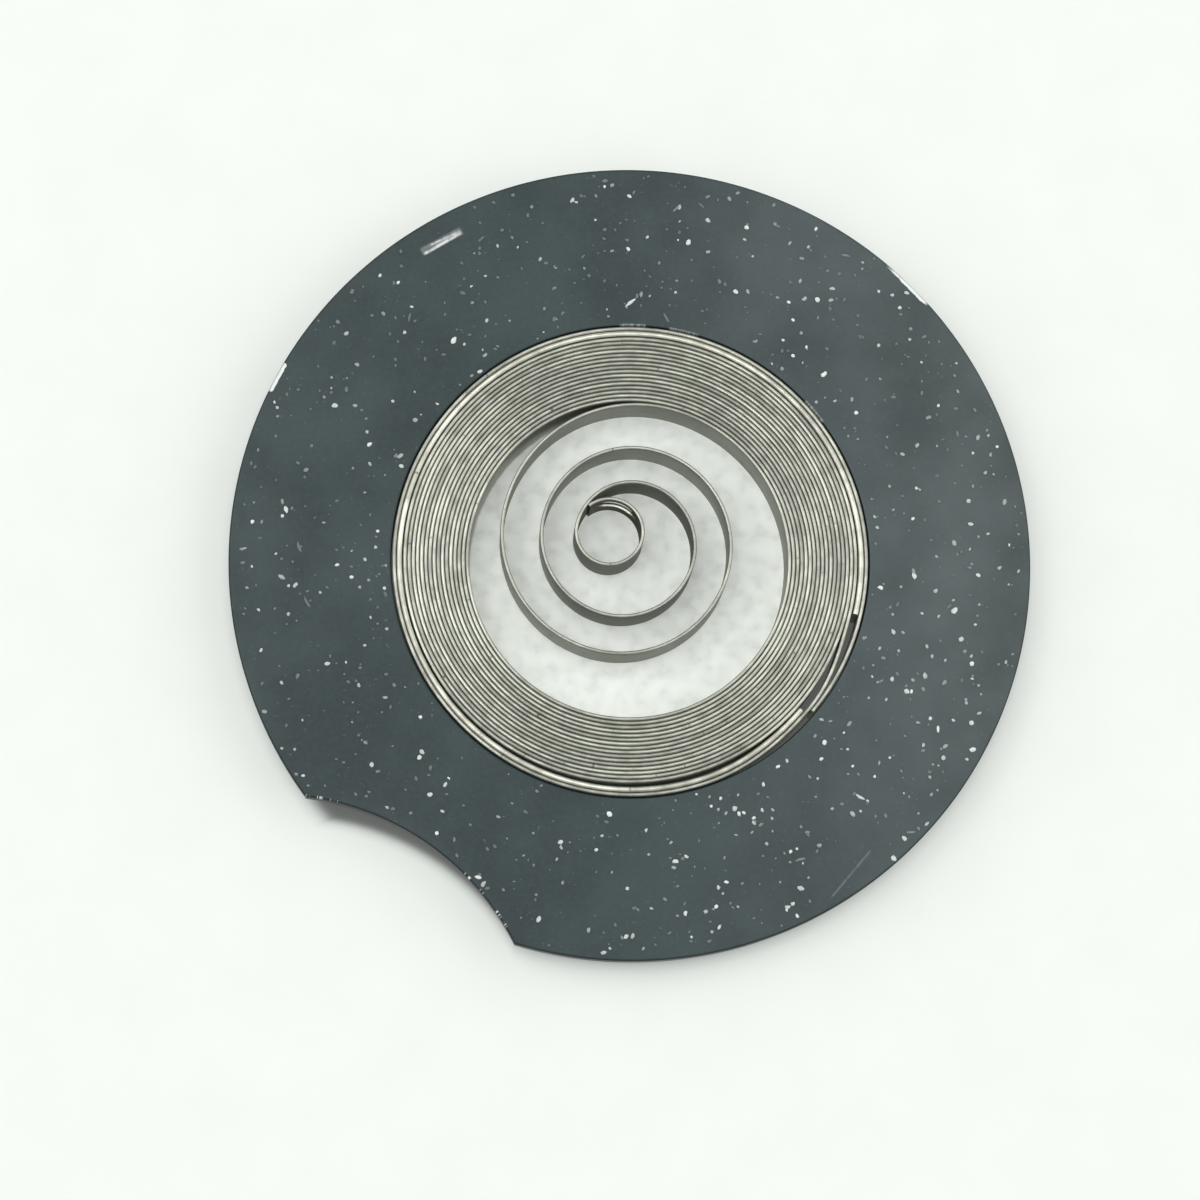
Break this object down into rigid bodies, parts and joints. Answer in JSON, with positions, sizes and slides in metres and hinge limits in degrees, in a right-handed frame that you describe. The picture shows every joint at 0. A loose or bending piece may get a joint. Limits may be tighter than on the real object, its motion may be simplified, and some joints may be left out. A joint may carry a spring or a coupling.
{
  "type": "spiral power spring",
  "caption": "Flat spiral mainspring wound on edge, with an inner eye for an arbor and a slipping bridle, held wound in a thin flat ring with a scalloped rim.",
  "frame": {"origin": "on the ring's axis, level with the lower edge of the spring", "axes": "+Z along the ring's axis, out of the face that the spring stands proud of; +X and +Y in the ring's plane"},
  "size_m": [0.0178, 0.0178, 0.0013],
  "materials": {
    "spring_steel": "rolled spring steel, with bright rounded edges and grey faces",
    "bridle_steel": "rolled spring steel, with brighter edges than the ribbon",
    "coated_steel": "matt slate-black coating, dusty, with bright chips along the edges"
  },
  "bodies": {
    "root": {"mainspring_ribbon": "spring_steel", "slip_bridle": "bridle_steel", "retaining_ring": "coated_steel"}
  },
  "joints": []
}
